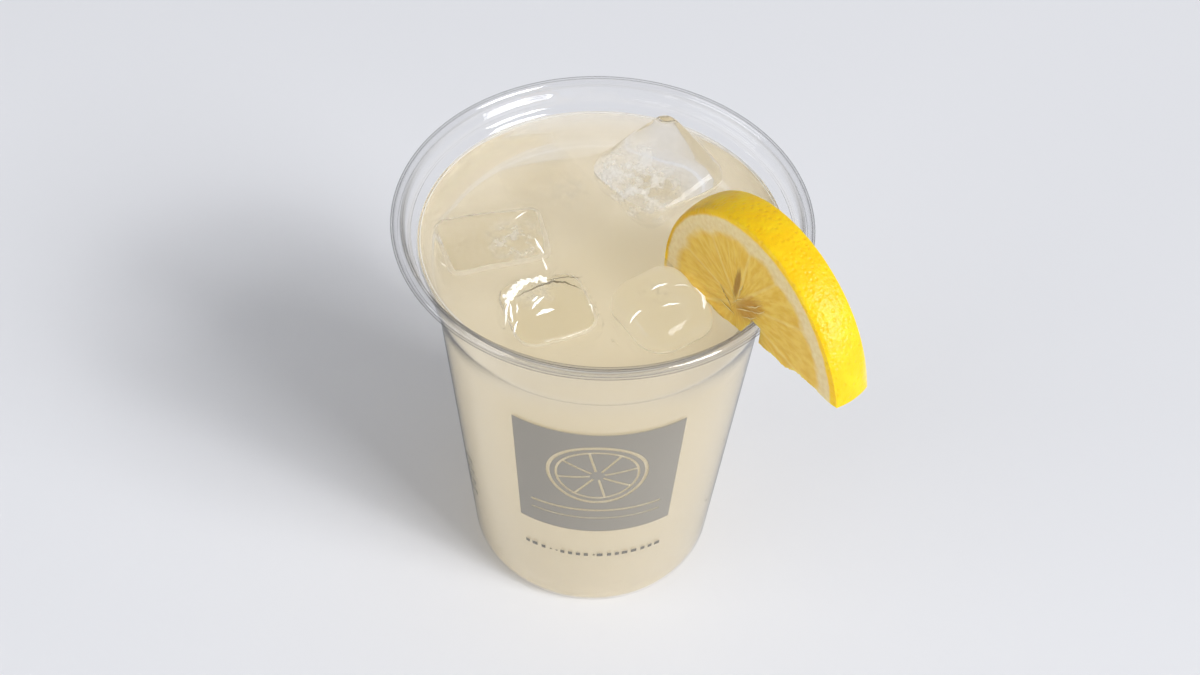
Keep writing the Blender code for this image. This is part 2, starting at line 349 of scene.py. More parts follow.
def body_line(inset=0.0):
    """Ledge to base centre, a distance inside the middle of the wall."""
    slant = math.hypot(1.0, CONE_SLOPE)
    step_height = CUP_HEIGHT - STEP_DROP
    ledge = (LEDGE_FOOT[0] - inset, LEDGE_FOOT[1])
    middle = (BAND_MIDDLE[0] - inset, BAND_MIDDLE[1])
    foot = (BAND_FOOT[0] - inset, BAND_FOOT[1])
    step = (BASE_RADIUS + CONE_SLOPE * step_height - inset * slant, STEP_DROP)
    heel_height = WALL / 2.0 + HEEL_RADIUS
    heel_centre = BASE_RADIUS + CONE_SLOPE * heel_height - HEEL_RADIUS * slant
    first = math.degrees(math.atan(CONE_SLOPE))
    heel = []
    for i in range(15):
        angle = math.radians(-first - (90.0 - first) * i / 14)
        radius = heel_centre + (HEEL_RADIUS - inset) * math.cos(angle)
        heel.append((radius, CUP_HEIGHT - heel_height - (HEEL_RADIUS - inset) * math.sin(angle)))
    centre = (0.0, CUP_HEIGHT - WALL / 2.0 - inset)
    line = [ledge] + straight(ledge, middle, 3) + [middle] + straight(middle, foot, 4) + [foot]
    line += eased(foot, step, 4) + [step] + straight(step, heel[0], 12) + heel
    return line + straight(heel[-1], centre, 8) + [centre]


def lug_strength(angle):
    """1 on a stacking lug, 0 in the three gaps between them, with soft ends."""
    off_gap = abs((angle - LUG_GAP_CENTRE + 60.0) % 120.0 - 60.0)
    return min(1.0, max(0.0, (off_gap - LUG_GAP_HALF_ANGLE + 1.0) / 2.0))


def lug_height(drop):
    outer_top, top, low, outer_low = LUG_DROPS
    if drop <= outer_top or drop >= outer_low:
        return 0.0
    if drop < top:
        return (drop - outer_top) / (top - outer_top)
    if drop > low:
        return (outer_low - drop) / (outer_low - low)
    return 1.0


def offset_line(points, distance):
    """The line moved sideways by a distance, along the mean of its neighbours' normals."""
    moved = []
    for i, point in enumerate(points):
        before = points[max(i - 1, 0)]
        after = points[min(i + 1, len(points) - 1)]
        along = (after[0] - before[0], after[1] - before[1])
        length = math.hypot(*along)
        moved.append((point[0] + along[1] / length * distance,
                      point[1] - along[0] / length * distance))
    return moved


def turned_mesh(name, loop, closed, lugs=False):
    """Turn a (radius, drop) line about Z. A point on the axis becomes a pole."""
    bm = bmesh.new()
    rows = []
    for radius, drop in loop:
        height = CUP_HEIGHT - drop
        if radius < 1e-6:
            rows.append([bm.verts.new((0.0, 0.0, height))])
            continue
        row = []
        for i in range(TURN_STEPS):
            angle = 2.0 * math.pi * i / TURN_STEPS
            r = radius
            if lugs and radius < RIM_RADIUS - 2.0 * CURL_RADIUS + WALL:
                r -= LUG_DEPTH * lug_height(drop) * lug_strength(math.degrees(angle))
            row.append(bm.verts.new((r * math.cos(angle), r * math.sin(angle), height)))
        rows.append(row)
    pairs = list(zip(rows, rows[1:]))
    if closed:
        pairs.append((rows[-1], rows[0]))
    for first, second in pairs:
        for i in range(TURN_STEPS):
            j = (i + 1) % TURN_STEPS
            if len(first) == 1 and len(second) == 1:
                continue
            if len(first) == 1:
                bm.faces.new((first[0], second[j], second[i]))
            elif len(second) == 1:
                bm.faces.new((first[i], first[j], second[0]))
            else:
                bm.faces.new((first[i], first[j], second[j], second[i]))
    bmesh.ops.recalc_face_normals(bm, faces=bm.faces[:])
    mesh = mesh_from(bm, name)
    mesh.shade_smooth()
    return mesh


def piece(name, mesh, stands_for=()):
    obj = bpy.data.objects.new(name, mesh)
    scene.collection.objects.link(obj)
    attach(obj, BODY)
    if stands_for:
        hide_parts(*stands_for)
    return obj


def film(shader, least, most, tint, grazing_tint, roughness, spread=11.0):
    """A clear film: light goes straight through, with gloss and a tint that grow towards its edge."""
    facing = shader.add("LayerWeight", {"Blend": 0.5}).outputs["Facing"]
    power = shader.math("POWER", facing, 5.0)
    shine = shader.math("MULTIPLY_ADD", power, most - least, least, clamp=True)
    edge = shader.math("POWER", facing, spread)
    colour = shader.mix(edge, tint, grazing_tint)
    clear = shader.add("BsdfTransparent", {"Color": colour})
    gloss = shader.add("BsdfGlossy", {"Color": (1.0, 1.0, 1.0, 1.0), "Roughness": roughness})
    return shader.blend(shine, clear.outputs[0], gloss.outputs[0])


def cup_material():
    shader = Shader("cup_plastic")
    height = shader.add("SeparateXYZ", {0: shader.add("TexCoord").outputs["Object"]}).outputs[2]
    spread = shader.ramp(height, CUP_HEIGHT - 3.6 * MM, CUP_HEIGHT - 2.6 * MM, 11.0, 3.0)
    shader.surface(film(shader, 0.04, 0.5, (0.992, 0.992, 0.994, 1.0), (0.05, 0.05, 0.05, 1.0),
                        0.06, spread))
    return shader.material


def make_cup():
    line = curl_line(28) + neck_line() + [NECK_FOOT] + eased(NECK_FOOT, LEDGE_FOOT, 10)
    line += body_line()
    outer = offset_line(line, -WALL / 2.0)
    inner = offset_line(line, WALL / 2.0)
    outer[-1] = (0.0, outer[-1][1])
    inner[-1] = (0.0, inner[-1][1])
    loop = outer + inner[::-1]
    mesh = turned_mesh("cup_shell", loop, True, lugs=True)
    mesh.set_sharp_from_angle(angle=math.radians(50.0))
    mesh.materials.append(cup_material())
    return piece("cup_shell", mesh, ("cup",))


# Ice and drink

def ice_shape(name, size, centre, corner, turns, grow, grid):
    """A cube with melted corners, as a grid cube pressed onto a rounded box."""
    half = [side * MM / 2.0 + grow for side in size]
    corner = corner * MM + grow
    bm = bmesh.new()
    bmesh.ops.create_cube(bm, size=2.0)
    bmesh.ops.subdivide_edges(bm, edges=bm.edges[:], cuts=grid - 1, use_grid_fill=True)
    for vertex in bm.verts:
        point = Vector([vertex.co[i] * half[i] for i in range(3)])
        inner = Vector([max(corner - half[i], min(half[i] - corner, point[i])) for i in range(3)])
        outward = point - inner
        if outward.length > 0.0:
            point = inner + outward.normalized() * corner
        direction = point.normalized()
        seed = Vector((size[0], size[1], turns[0]))
        point += direction * ICE_LUMP * noise.noise(direction * ICE_LUMP_SPACING + seed)
        if grow == 0.0:
            ripple = noise.noise(point * 230.0 + seed) + 0.45 * noise.noise(point * 520.0 - seed)
            point += direction * ICE_RIPPLE * ripple
        narrowing = 1.0 + ICE_TAPER * vertex.co.z
        vertex.co = Vector((point.x * narrowing, point.y * narrowing, point.z))
    place = Matrix.Translation(Vector(centre) * MM)
    for axis, turn in zip("ZXY", turns):
        place = place @ Matrix.Rotation(math.radians(turn), 4, axis)
    bm.transform(place)
    mesh = mesh_from(bm, name)
    mesh.shade_smooth()
    return mesh


def ice_material(name, frost, cloud_size, middle, reach):
    """Clear ice with a milky cloud about a middle point, in the row frame and mm."""
    shader = Shader(name)
    glass = shader.add("BsdfPrincipled", {
        "Base Color": (0.99, 0.995, 1.0, 1.0),
        "Roughness": 0.02,
        "IOR": 1.31,
        "Transmission Weight": 1.0,
    })
    clear = let_light_through(shader, glass.outputs[0], (0.97, 0.97, 0.97, 1.0))
    spot = shader.add("TexCoord").outputs["Object"]
    height = shader.add("SeparateXYZ", {0: spot}).outputs[2]
    dry = shader.math("GREATER_THAN", height, DRINK_LEVEL + 0.15 * MM)
    wet = shader.add("BsdfTransparent", {"Color": (0.99, 0.99, 0.99, 1.0)})
    clear = shader.blend(dry, wet.outputs[0], clear)
    grain = shader.add("TexNoise", {"Vector": spot, "Scale": cloud_size, "Detail": 5.0,
                                    "Roughness": 0.62})
    away = shader.add("VectorMath", {0: spot, 1: tuple(value * MM for value in middle)},
                      operation="DISTANCE")
    near = shader.ramp(away.outputs["Value"], reach * 0.25 * MM, reach * MM, 1.0, 0.0)
    patch = shader.ramp(grain.outputs[0], 0.40, 0.68)
    amount = shader.math("MULTIPLY", shader.math("MULTIPLY", near, patch), frost)
    milk = shader.add("BsdfDiffuse", {"Color": (0.92, 0.93, 0.94, 1.0)})
    through = shader.add("BsdfTranslucent", {"Color": (0.92, 0.93, 0.94, 1.0)})
    cloud = shader.blend(0.5, milk.outputs[0], through.outputs[0])
    shader.surface(shader.blend(amount, clear, cloud))
    return shader.material


def pocket_wall(shader):
    """1 where the drink's surface is the wall of a pocket for ice, 0 at its top and outside."""
    spot = shader.add("SeparateXYZ", {0: shader.add("TexCoord").outputs["Object"]})
    x = shader.math("MULTIPLY", spot.outputs[0], 1000.0)
    y = shader.math("MULTIPLY", spot.outputs[1], 1000.0)
    z = shader.math("MULTIPLY", spot.outputs[2], 1000.0)
    square = shader.math("MULTIPLY_ADD", x, x, shader.math("MULTIPLY", y, y))
    radius = shader.math("SQRT", square)
    step_height = (CUP_HEIGHT - STEP_DROP) / MM
    cone = shader.math("MULTIPLY_ADD", z, CONE_SLOPE, BASE_RADIUS / MM - POCKET_INSET)
    above = shader.math("MAXIMUM", shader.math("SUBTRACT", z, step_height), 0.0)
    step = shader.math("MULTIPLY", shader.math("GREATER_THAN", z, step_height),
                       POCKET_STEP)
    wall = shader.math("ADD", shader.math("MULTIPLY_ADD", above, POCKET_SLOPE, cone), step)
    within = shader.math("LESS_THAN", radius, wall)
    under = shader.math("LESS_THAN", z, DRINK_LEVEL / MM - 0.05)
    high = shader.math("GREATER_THAN", z, POCKET_LOWEST)
    return shader.math("MULTIPLY", within, shader.math("MULTIPLY", under, high))


def drink_material():
    shader = Shader("lemonade")
    glass = shader.add("BsdfPrincipled", {
        "Base Color": (1.0, 1.0, 1.0, 1.0),
        "Roughness": 0.0,
        "IOR": 1.33,
        "Transmission Weight": 1.0,
    })
    clear = let_light_through(shader, glass.outputs[0], (1.0, 1.0, 1.0, 1.0))
    pocket = shader.add("BsdfTransparent", {"Color": (1.0, 1.0, 1.0, 1.0)})
    haze = shader.add("BsdfDiffuse", {"Color": linear(*DRINK_COLOUR)})
    murky = shader.blend(DRINK_HAZE, clear, haze.outputs[0])
    shader.surface(shader.blend(pocket_wall(shader), murky, pocket.outputs[0]))
    scatter = shader.add("VolumeScatter", {
        "Color": (1.0, 1.0, 1.0, 1.0),
        "Density": 90.0,
        "Anisotropy": 0.8,
    })
    absorption = shader.add("VolumeAbsorption", {
        "Color": (0.92, 0.79, 0.30, 1.0),
        "Density": 5.0,
    })
    both = shader.add("AddShader", {0: scatter.outputs[0], 1: absorption.outputs[0]})
    # Painted light: this emission lifts the whole drink evenly, in place of the light that more
    # scattering bounces would carry through it
    glow = shader.add("Emission", {"Color": (1.0, 0.79, 0.40, 1.0), "Strength": 5.2})
    filled = shader.add("AddShader", {0: both.outputs[0], 1: glow.outputs[0]})
    shader.volume(filled.outputs[0])
    return shader.material


def drink_line():
    inset = WALL / 2.0 - INTO_WALL
    level_drop = CUP_HEIGHT - DRINK_LEVEL
    edge = LEDGE_FOOT[0] - inset
    top = [(0.0, level_drop)]
    for i in range(1, 100):
        top.append(((edge - MENISCUS_WIDTH) * i / 100, level_drop))
    for i in range(9):
        part = i / 8
        top.append((edge - MENISCUS_WIDTH * (1.0 - part),
                    level_drop - MENISCUS_RISE * part ** 2.5))
    return top + body_line(inset)[1:]


def ice_gap(cube, place_back, point):
    """Distance in metres from a point to a cube's rounded box, negative inside."""
    size, corner = cube[1], cube[3] * MM
    local = place_back @ point
    narrowing = 1.0 + ICE_TAPER * local.z / (size[2] * MM / 2.0)
    local = Vector((local.x / narrowing, local.y / narrowing, local.z))
    out = [abs(local[i]) - (size[i] * MM / 2.0 - corner) for i in range(3)]
    outside = Vector([max(value, 0.0) for value in out]).length
    return outside + min(max(out), 0.0) - corner


def ice_place(cube):
    place = Matrix.Translation(Vector(cube[2]) * MM)
    for axis, turn in zip("ZXY", cube[4]):
        place = place @ Matrix.Rotation(math.radians(turn), 4, axis)
    return place


def wet_edges(mesh):
    """Raise the drink's surface a little where it meets the ice and the lemon."""
    backs = [(cube, ice_place(cube).inverted()) for cube in ICE_CUBES]
    lemon_back = lemon_frame().inverted()
    for vertex in mesh.vertices:
        if vertex.co.z < DRINK_LEVEL - 0.1 * MM:
            continue
        rise = 0.0
        for cube, back in backs:
            gap = ice_gap(cube, back, vertex.co)
            rise = max(rise, WET_RISE_ICE * math.exp(-max(gap, 0.0) / WET_REACH))
        local = lemon_back @ vertex.co
        off = max(-local.z, local.z - LEMON_THICKNESS, math.hypot(local.x, local.y) - 30.5 * MM,
                  0.0)
        rise = max(rise, WET_RISE_LEMON * math.exp(-off / WET_REACH))
        swell = noise.noise(vertex.co * SWELL_SPACING) * SWELL_HEIGHT
        vertex.co.z += rise + swell


def cut(obj, cutter):
    boolean = obj.modifiers.new("cut_" + cutter.name, "BOOLEAN")
    boolean.operation = "DIFFERENCE"
    boolean.solver = "EXACT"
    boolean.object = cutter


def applied(obj):
    evaluated = obj.evaluated_get(bpy.context.evaluated_depsgraph_get())
    mesh = bpy.data.meshes.new_from_object(evaluated)
    obj.modifiers.clear()
    obj.data = mesh
    return obj


def make_drink():
    mesh = turned_mesh("drink_body", drink_line(), False)
    mesh.materials.append(drink_material())
    wet_edges(mesh)
    drink = piece("drink_body", mesh, ("drink",))
    cutters = []
    for cube in ICE_CUBES + (ICE_SUNK,):
        pocket = bpy.data.objects.new("cut_" + cube[0], ice_shape("cut", *cube[1:],
                                                                  POCKET_SHRINK, 16))
        scene.collection.objects.link(pocket)
        cut(drink, pocket)
        cutters.append(pocket)
    applied(drink)
    for cutter in cutters:
        bpy.data.objects.remove(cutter, do_unlink=True)
    drink.data.shade_smooth()
    drink.data.set_sharp_from_angle(angle=math.radians(40.0))
    return drink


def make_ice():
    # Frost, grain of the cloud, its middle and reach in mm
    clouds = {
        "ice_back": (0.75, 260.0, (7.0, 14.0, 112.0), 17.0),
        "ice_left": (0.5, 300.0, (-20.0, -4.0, 110.5), 9.0),
        "ice_front": (0.3, 380.0, (-15.0, -20.0, 111.0), 8.0),
        "ice_dome": (0.18, 420.0, (12.0, -24.0, 114.0), 6.0),
        "ice_sunk": (0.25, 300.0, (-9.0, 16.0, 106.0), 8.0),
    }
    for cube in ICE_CUBES + (ICE_SUNK,):
        mesh = ice_shape(cube[0] + "_clear", *cube[1:], 0.0, ICE_GRID)
        mesh.materials.append(ice_material(cube[0] + "_clear", *clouds[cube[0]]))
        stands_for = () if cube == ICE_SUNK else (cube[0],)
        piece(cube[0] + "_clear", mesh, stands_for)


# Marks on the ice, each a line of places seen from above in mm: dark lines whose colour is painted
# shade, and glints that are painted highlights
# Dark lines along the back edge of the front cube, read as cracks: their dark colour is painted
# shade, as the ice itself is clear
ICE_SHADE_LINES = (
    (0.16, ((-12.3, -17.2), (-8.1, -15.7), (-4.1, -13.9))),
    (0.26, ((-18.6, -23.2), (-14.6, -20.1), (-10.9, -17.7), (-8.0, -17.6), (-4.1, -18.6))),
)
# Glints: white strands that glow a little, painted highlights where lamp light would glint off the
# ice
GLINTS = (
    (0.30, ((11.3, -23.7), (12.9, -22.4), (14.9, -21.6))),
    (0.14, ((16.4, -22.1), (18.2, -21.4), (19.8, -21.0))),
    (0.26, ((20.9, -20.1), (22.1, -20.0), (22.6, -21.6))),
    (0.52, ((22.0, -20.4), (22.9, -22.1), (23.2, -24.8), (23.1, -27.0))),
    (0.20, ((13.9, -28.0), (15.6, -27.3), (17.6, -26.9))),
    (0.26, ((6.9, -30.5), (8.2, -29.5), (9.3, -29.1))),
    (0.48, ((-13.9, -28.3), (-12.2, -27.0), (-10.0, -26.4))),
    (0.34, ((-14.9, -26.5), (-14.3, -24.8), (-12.5, -22.6))),
    (0.24, ((-15.0, -24.2), (-13.9, -22.6))),
    (0.20, ((-18.6, -32.2), (-18.4, -30.6), (-17.9, -29.4))),
    (0.30, ((-20.6, -29.6), (-20.7, -26.0), (-20.2, -23.6))),
    (0.26, ((-19.1, -29.4), (-19.5, -27.1), (-19.9, -24.6))),
    (0.20, ((-18.2, -27.4), (-18.3, -25.0))),
    (0.30, ((-15.6, -3.0), (-14.6, -5.2), (-13.4, -7.4))),
    (0.24, ((-13.6, -8.6), (-12.9, -10.6), (-12.3, -12.2))),
    (0.14, ((-36.7, -11.5), (-35.3, -12.6))),
    (0.13, ((-20.7, 3.0), (-19.5, 4.4), (-18.1, 5.8))),
    (0.12, ((-2.6, -23.4), (-1.9, -22.7), (-1.4, -25.1))),
)
FROTH = ((-20.4, -23.4), (-19.4, -21.0), (-17.5, -18.7), (-15.1, -17.0), (-12.6, -16.9))


def ice_tops():
    """A function that gives the highest ice or drink surface at a place seen from above."""
    trees = []
    for cube in ICE_CUBES:
        mesh = bpy.data.objects[cube[0] + "_clear"].data
        places = [vertex.co for vertex in mesh.vertices]
        trees.append(BVHTree.FromPolygons(places, [face.vertices for face in mesh.polygons]))

    def top(x, y):
        highest = DRINK_LEVEL + 0.1 * MM
        for tree in trees:
            found = tree.ray_cast(Vector((x * MM, y * MM, 0.2)), Vector((0.0, 0.0, -1.0)))[0]
            if found is not None:
                highest = max(highest, found.z)
        return Vector((x * MM, y * MM, highest))

    return top


def make_strands(name, lines, lift, wobble, colour, glow, roughness):
    """Thin strands that lie on the ice, one to each line, thickest in the middle."""
    chance = random.Random(11)
    top = ice_tops()
    bm = bmesh.new()
    for width, line in lines:
        points = []
        for first, second in zip(line, line[1:]):
            for k in range(5):
                part = k / 5.0
                x = first[0] + (second[0] - first[0]) * part + chance.uniform(-wobble, wobble)
                y = first[1] + (second[1] - first[1]) * part + chance.uniform(-wobble, wobble)
                points.append(top(x, y) + Vector((0.0, 0.0, lift)))
        points.append(top(*line[-1]) + Vector((0.0, 0.0, lift)))
        radii = []
        for i in range(len(points)):
            swell = math.sin(math.pi * (i + 0.3) / (len(points) - 0.4))
            radii.append(width * MM * (0.12 + 0.88 * swell) * chance.uniform(0.7, 1.1))
        tube(bm, points, radii, 8)
    mesh = mesh_from(bm, name)
    mesh.shade_smooth()
    shader = Shader(name)
    # The strand colour is painted shade on the dark lines; on the glints it is a painted highlight,
    # with a glow
    shader.surface(shader.add("BsdfPrincipled", {
        "Base Color": colour,
        "Roughness": roughness,
        "Emission Color": colour,
        "Emission Strength": glow,
    }))
    mesh.materials.append(shader.material)
    piece(name, mesh)


BUBBLE_STRINGS = (
    # start, end, in mm; count, least and greatest radius in mm, spread in mm
    ((-3.4, -17.6), (-1.4, -22.0), 12, 0.18, 0.42, 0.6),
    ((-1.4, -22.0), (1.6, -29.6), 10, 0.18, 0.42, 0.6),
    ((3.4, -32.8), (4.9, -34.4), 5, 0.15, 0.4, 0.4),
    ((-21.4, -23.4), (-20.8, -31.0), 12, 0.12, 0.36, 0.5),
    ((-21.0, -24.0), (-17.6, -18.2), 16, 0.2, 0.5, 1.0),
    ((-17.0, -19.0), (-10.0, -16.6), 14, 0.2, 0.45, 1.0),
)


def ball_mesh(name, balls):
    bm = bmesh.new()
    for point, radius in balls:
        place = Matrix.Translation(point)
        bmesh.ops.create_icosphere(bm, subdivisions=2, radius=radius, matrix=place)
    mesh = mesh_from(bm, name)
    mesh.shade_smooth()
    return mesh


def make_bubbles():
    chance = random.Random(7)
    top = ice_tops()
    clear = []
    for start, end, count, least, most, spread in BUBBLE_STRINGS:
        for _ in range(count):
            part = chance.random()
            x = start[0] + (end[0] - start[0]) * part + chance.gauss(0.0, spread / 2.0)
            y = start[1] + (end[1] - start[1]) * part + chance.gauss(0.0, spread / 2.0)
            radius = (least + (most - least) * chance.random() ** 2) * MM
            clear.append((top(x, y) + Vector((0.0, 0.0, radius * 0.4)), radius))
    mesh = ball_mesh("bubbles", clear)
    shader = Shader("bubble")
    shader.surface(film(shader, 0.12, 0.8, (0.98, 0.98, 0.97, 1.0), (0.45, 0.43, 0.38, 1.0), 0.04))
    mesh.materials.append(shader.material)
    piece("bubbles", mesh)

    froth = []
    for first, second in zip(FROTH, FROTH[1:]):
        for _ in range(24):
            part = chance.random()
            x = first[0] + (second[0] - first[0]) * part + chance.gauss(0.0, 0.45)
            y = first[1] + (second[1] - first[1]) * part + chance.gauss(0.0, 0.45)
            radius = chance.uniform(0.22, 0.62) * MM
            froth.append((top(x, y) + Vector((0.0, 0.0, radius * 0.3)), radius))
    mesh = ball_mesh("froth", froth)
    shader = Shader("froth")
    # The froth is white; its glow is painted light, standing in for the bright highlights on its
    # bubbles
    shader.surface(shader.add("BsdfPrincipled", {
        "Base Color": linear(246, 242, 230),
        "Roughness": 0.12,
        "Emission Color": linear(255, 250, 238),
        "Emission Strength": 0.35,
    }))
    mesh.materials.append(shader.material)
    piece("froth", mesh)


# Lemon slice

def lemon_frame():
    """Matrix whose X runs out along the cut edge, Y up in the slice, Z to its far face."""
    turn = math.radians(LEMON_TURN)
    lift = math.radians(LEMON_LIFT)
    along = Vector((math.cos(turn) * math.cos(lift), math.sin(turn) * math.cos(lift),
                    math.sin(lift)))
    far = Vector((along.x, along.y, 0.0)).cross(Vector((0.0, 0.0, -1.0))).normalized()
    up = far.cross(along).normalized()
    if up.z < 0.0:
        up = -up
    place = Matrix((along, up, far)).transposed().to_4x4()
    place.translation = LEMON_MIDDLE
    return place


def rag(along, depth, radius):
    """Height of the torn cut edge at a place along it and through the slice."""
    part = along / radius
    taper = 1.0 - part ** 6
    wave = math.sin(along / (2.9 * MM) + 0.6) + 0.6 * math.sin(along / (1.27 * MM) + 2.0 * depth)
    lift = 0.8 * MM * (1.0 - part * part)
    fine = noise.noise(Vector((along * 1400.0, depth * 500.0, 3.0)))
    return taper * (lift + RAG_DEPTH * 0.4 * wave + 0.35 * MM * fine)


def membrane_gap(x, y):
    """Distance in mm from a point of the slice to the nearest membrane."""
    x -= CORE_ALONG
    y -= CORE_UP
    nearest = 99.0
    for degrees in MEMBRANE_ANGLES:
        c = math.cos(math.radians(degrees))
        s = math.sin(math.radians(degrees))
        gap = abs(x * s - y * c) + max(0.0, -(x * c + y * s))
        nearest = min(nearest, gap)
    return nearest


def face_sink(along, up, side):
    """How far the pulp lies below the pith, with swollen juice sacs and raised membranes."""
    x = along / MM
    y = up / MM
    gap = membrane_gap(x, y)
    rim = math.hypot(x, y) + 0.9 * math.exp(-(gap / 2.2) ** 2)
    inside = min(1.0, max(0.0, (PITH_INNER - rim) / 1.6))
    membrane = math.exp(-(gap / 0.45) ** 2)
    angle = math.atan2(y - CORE_UP, x - CORE_ALONG)
    reach = math.hypot(x - CORE_ALONG, y - CORE_UP)
    sacs = noise.noise(Vector((reach * 0.22, angle * 11.0, side * 7.0)))
    sacs += 0.5 * noise.noise(Vector((reach * 0.6, angle * 24.0, side * 3.0)))
    sink = inside * (0.33 - 0.14 * membrane + 0.09 * sacs)
    sink += 0.05 * noise.noise(Vector((x * 0.9, y * 0.9, side * 5.0)))
    return max(0.0, sink) * MM


def lemon_mesh():
    bm = bmesh.new()
    loops = []
    for column in range(LEMON_COLUMNS + 1):
        sweep = math.pi * column / LEMON_COLUMNS
        loop = []

        def place(row, through):
            depth = through * LEMON_THICKNESS
            spread = LEMON_NEAR_RADIUS + (LEMON_FAR_RADIUS - LEMON_NEAR_RADIUS) * through
            radius = spread + LEMON_CROWN * 4.0 * through * (1.0 - through)
            tip = max(0.0, math.cos(sweep)) ** 8
            radius += LEMON_TIP_STRETCH * tip * (1.0 - 2.0 * through)
            along = radius * math.cos(sweep)
            low = rag(along, depth, radius)
            up = low + (radius * math.sin(sweep) - low) * row
            pit = noise.noise(Vector((sweep * 26.0, depth * 800.0, 1.0)))
            ends = min(1.0, 12.0 * math.sin(sweep)) if 0 < column < LEMON_COLUMNS else 0.0
            shrink = 1.0 - (0.0025 + 0.0022 * pit) * (row ** 30) * ends
            return along * shrink, up * shrink, depth

        def on_face(row, through):
            along, up, depth = place(row, through)
            ends = min(1.0, 12.0 * math.sin(sweep)) if 0 < column < LEMON_COLUMNS else 0.0
            sink = (face_sink(along, up, through) + 0.35 * MM * row ** 60) * ends
            shift = sink if through == 0.0 else -sink
            return (along, up, depth + shift)

        for row in range(LEMON_FACE_ROWS + 1):
            part = 1.0 - (1.0 - row / LEMON_FACE_ROWS) ** 1.15
            loop.append(on_face(part, 0.0))
        for row in range(1, LEMON_EDGE_ROWS):
            loop.append(place(1.0, row / LEMON_EDGE_ROWS))
        for row in range(LEMON_FACE_ROWS + 1):
            part = 1.0 - (row / LEMON_FACE_ROWS) ** 1.15
            loop.append(on_face(part, 1.0))
        for row in range(1, LEMON_EDGE_ROWS):
            loop.append(place(0.0, 1.0 - row / LEMON_EDGE_ROWS))
        loops.append([bm.verts.new(point) for point in loop])
    count = len(loops[0])
    for first, second in zip(loops, loops[1:]):
        for i in range(count):
            after = (i + 1) % count
            bm.faces.new((first[i], second[i], second[after], first[after]))
    bmesh.ops.remove_doubles(bm, verts=bm.verts[:], dist=0.01 * MM)
    bmesh.ops.recalc_face_normals(bm, faces=bm.faces[:])
    mesh = mesh_from(bm, "lemon_slice_cut")
    return mesh


def slit_mesh():
    """A turned band round the cup's wall and rim that clears the lemon from them."""
    rim_inner = RIM_RADIUS - 2.0 * CURL_RADIUS
    half = WALL / 2.0 + SLIT_CLEARANCE
    lug = LUG_DEPTH + half
    outer = RIM_RADIUS + SLIT_CLEARANCE
    roof = -SLIT_CLEARANCE * 2.0
    loop = [
        (outer, roof),
        (outer, SLIT_BOTTOM_DROP),
        (BAND_MIDDLE[0] - half, SLIT_BOTTOM_DROP),
        (LEDGE_FOOT[0] - half, LEDGE_FOOT[1]),
        (NECK_FOOT[0] - lug, NECK_FOOT[1]),
        (rim_inner - lug, LUG_DROPS[0]),
        (rim_inner - SLIT_CLEARANCE, CURL_RADIUS),
        (rim_inner, roof),
    ]
    return turned_mesh("cut_slit", loop, True)


def tear_mesh():
    """The torn opening outside the rim, a ragged outline pushed through the slice."""
    corners = [Vector((x, y)) for x, y in TEAR_OUTLINE]
    outline = []
    for i, corner in enumerate(corners):
        after = corners[(i + 1) % len(corners)]
        for k in range(6):
            point = corner.lerp(after, k / 6.0)
            wobble = 0.5 if k else 0.0
            point.x += wobble * noise.noise(Vector((point.x * 1.3, point.y * 1.3, 0.0)))
            point.y += wobble * noise.noise(Vector((point.x * 1.3, point.y * 1.3, 9.0)))
            outline.append(point)
    bm = bmesh.new()
    near = [bm.verts.new((p.x * MM, p.y * MM, -3.0 * MM)) for p in outline]
    far = [bm.verts.new((p.x * MM, p.y * MM, 13.0 * MM)) for p in outline]
    bm.faces.new(near)
    bm.faces.new(far[::-1])
    for i in range(len(outline)):
        j = (i + 1) % len(outline)
        bm.faces.new((near[i], near[j], far[j], far[i]))
    bmesh.ops.triangulate(bm, faces=bm.faces[:])
    bmesh.ops.recalc_face_normals(bm, faces=bm.faces[:])
    mesh = mesh_from(bm, "cut_tear")
    return mesh


